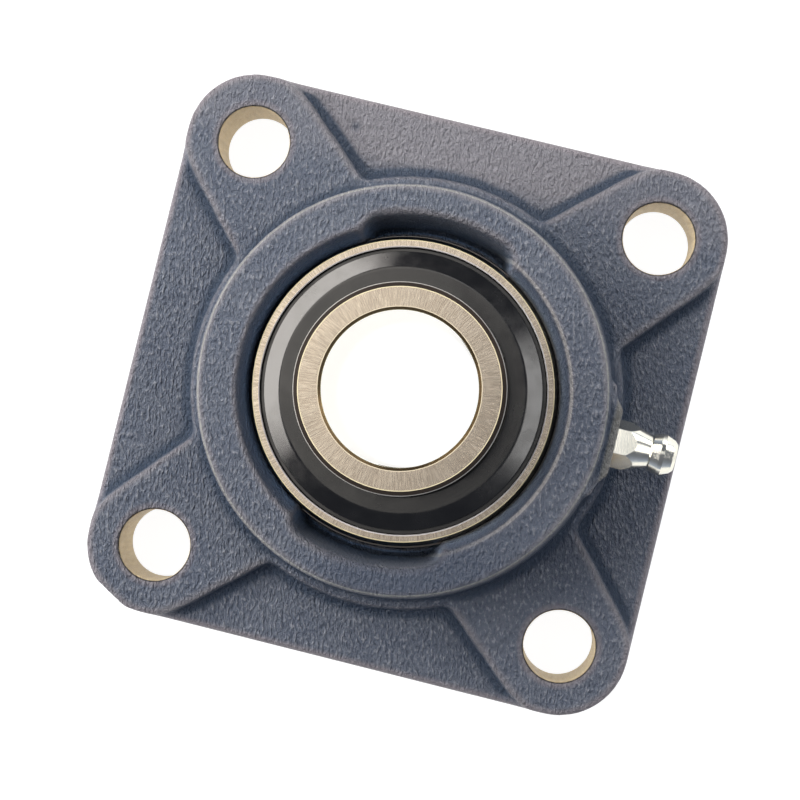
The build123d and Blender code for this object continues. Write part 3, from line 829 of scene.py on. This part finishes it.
# %% Hollows
HOLLOW_PASSES = 14
HOLLOW_SHARE = 0.5
smoothed = soft.copy()
for _ in range(HOLLOW_PASSES):
    smoothed += HOLLOW_SHARE * neighbour_shift(smoothed)
outwards = np.zeros(len(soft) * 3)
skin_mesh.vertices.foreach_get("normal", outwards)
hollow = ((smoothed - soft) * outwards.reshape(-1, 3)).sum(1)
skin_mesh.attributes.new("hollow", "FLOAT", "POINT").data.foreach_set("value", hollow)
edge_depth, hollow_depth = np.round(np.percentile(hollow, [2, 98]), 3)
print("2% lie below", edge_depth, "mm and 2% above", hollow_depth, "mm")

# %% [markdown]
# ## The skin stands for the housing
# The finished skin becomes one smooth object. It rides on the housing's body and replaces the plain housing
# in the picture, while the exact housing stays in the frame.

# %% Skin piece
skin_mesh.polygons.foreach_set("use_smooth", [True] * len(skin_mesh.polygons))
skin_mesh.materials.clear()
skin = bpy.data.objects.new("cast_housing", skin_mesh)
bpy.context.scene.collection.objects.link(skin)
wear(skin, PAINT, "housing", "casting_paint", "housing")
print("skin triangles", 2 * len(skin_mesh.polygons))

# %% [markdown]
# ## White table
# The unit lies on a white table that the photo shows as pure white with a faint shadow. A pale floor
# catches the real shadow. It also glows for rays that come straight from the camera or by way of a mirror,
# so that everything but the shadow reaches full white while the light that the floor throws back on the
# casting stays natural.

# %% Floor
TABLE_GLOW = 0.95
bpy.ops.mesh.primitive_plane_add(size=6)
floor = bpy.context.object
floor.name = "White table"
WHITE, white, white_shader = start_material("White table")
table_noise = white.noise(white.add("ShaderNodeTexCoord", out="Object"), 9.0, 2.0)
paths = white.tree.nodes.new("ShaderNodeLightPath").outputs
seen = white.calc("MAXIMUM", paths["Is Camera Ray"], paths["Is Glossy Ray"])
seen = white.calc("MAXIMUM", seen, paths["Is Transmission Ray"])
table_colour = white.colour(table_noise, (0.86, 0.86, 0.86, 1), (0.88, 0.88, 0.88, 1))
white.fill(
    white_shader,
    {
        "Base Color": white.colour(seen, table_colour, (0.22, 0.22, 0.22, 1)),
        "Roughness": 0.9,
        "Emission Color": (1, 1, 1, 1),
        "Emission Strength": white.calc("MULTIPLY", seen, TABLE_GLOW),
    },
)
floor.data.materials.append(WHITE)
print("floor placed")

# %% [markdown]
# ## Studio light
# The cone of the shield is bright on the left, grey on the right and dark above and below. It drops by 20
# degrees, so it mirrors what stands 45 to 50 degrees above the table: a soft panel at the upper left and a
# weaker one on the right. Two low panels stand at about 20 degrees, where the rim of the hub hides them
# from the cone. They graze the casting and bring out its grain. A small panel above lights the nipple.
# Lamps without a size would give hard spots on the steel, so every light is a panel.

# %% Lights
FLAT_RIGHT = Vector((IMAGE_RIGHT.x, IMAGE_RIGHT.y, 0)).normalized()
FLAT_UP = Vector((-FLAT_RIGHT.y, FLAT_RIGHT.x, 0))
AIM = Vector((0, 0, 0.02))
WARM_LAMP = (1, 0.965, 0.93)


def soft_panel(name, sideways, upwards, stand, width, depth, radiance, tint=(1, 1, 1)):
    """A light panel aimed at the hub. Its place is given along the image and above the table."""
    data = bpy.data.lights.new(name, "AREA")
    data.shape = "RECTANGLE"
    data.size = width
    data.size_y = depth
    data.energy = radiance * math.pi * width * depth
    data.color = tint
    light = bpy.data.objects.new(name, data)
    bpy.context.scene.collection.objects.link(light)
    light.location = FLAT_RIGHT * sideways + FLAT_UP * upwards + Vector((0, 0, stand))
    light.rotation_euler = (AIM - light.location).to_track_quat("-Z", "Y").to_euler()
    return light


soft_panel("Upper left panel", -0.29, 0.15, 0.34, 0.72, 0.18, 6.0, WARM_LAMP)
soft_panel("Low left panel", -0.5, 0.26, 0.2, 0.9, 0.16, 7.5)
soft_panel("Low right panel", 0.42, 0.38, 0.2, 0.8, 0.16, 4.5)
soft_panel("Right panel", 0.5, -0.03, 0.62, 0.54, 0.22, 3.0)
soft_panel("Nipple panel", 0.07, 0.24, 1.0, 0.18, 0.16, 1.8)

# %% [markdown]
# ## Room
# The ground faces of the rings lie level, so they mirror what is straight above: bright on the left and at
# the top, dull on the right. A lamp there would light the whole unit too. The world shows a pale patch of
# ceiling instead, above and to the left, in a room that is grey-blue near the table and dark overhead.

# %% Room
NEAR_TABLE = (0.36, 0.42, 0.54, 1)
OVERHEAD = (0.14, 0.15, 0.18, 1)
CEILING = (1.55, 1.5, 1.42, 1)
world = bpy.data.worlds.new("Room")
bpy.context.scene.world = world
world.use_nodes = True
room = Graph(world.node_tree)
ray = room.add("ShaderNodeTexCoord", out="Generated")
upness = room.add("ShaderNodeSeparateXYZ", {0: ray}, out=2)
leftness = room.add("ShaderNodeVectorMath", {0: ray, 1: -FLAT_RIGHT}, out="Value", operation="DOT_PRODUCT")
topness = room.add("ShaderNodeVectorMath", {0: ray, 1: FLAT_UP}, out="Value", operation="DOT_PRODUCT")
room_tone = room.colour(room.step(upness, 0.05, 0.6), NEAR_TABLE, OVERHEAD)
ceiling = room.every(
    room.step(leftness, 0.01, 0.05),
    room.step(leftness, 0.45, 0.3),
    room.step(topness, -0.06, -0.01),
    room.step(upness, 0.8, 0.92),
)
room_tone = room.colour(ceiling, room_tone, CEILING)
room.fill(world.node_tree.nodes["Background"], {"Color": room_tone, "Strength": 1.0})
print("world", world.name)
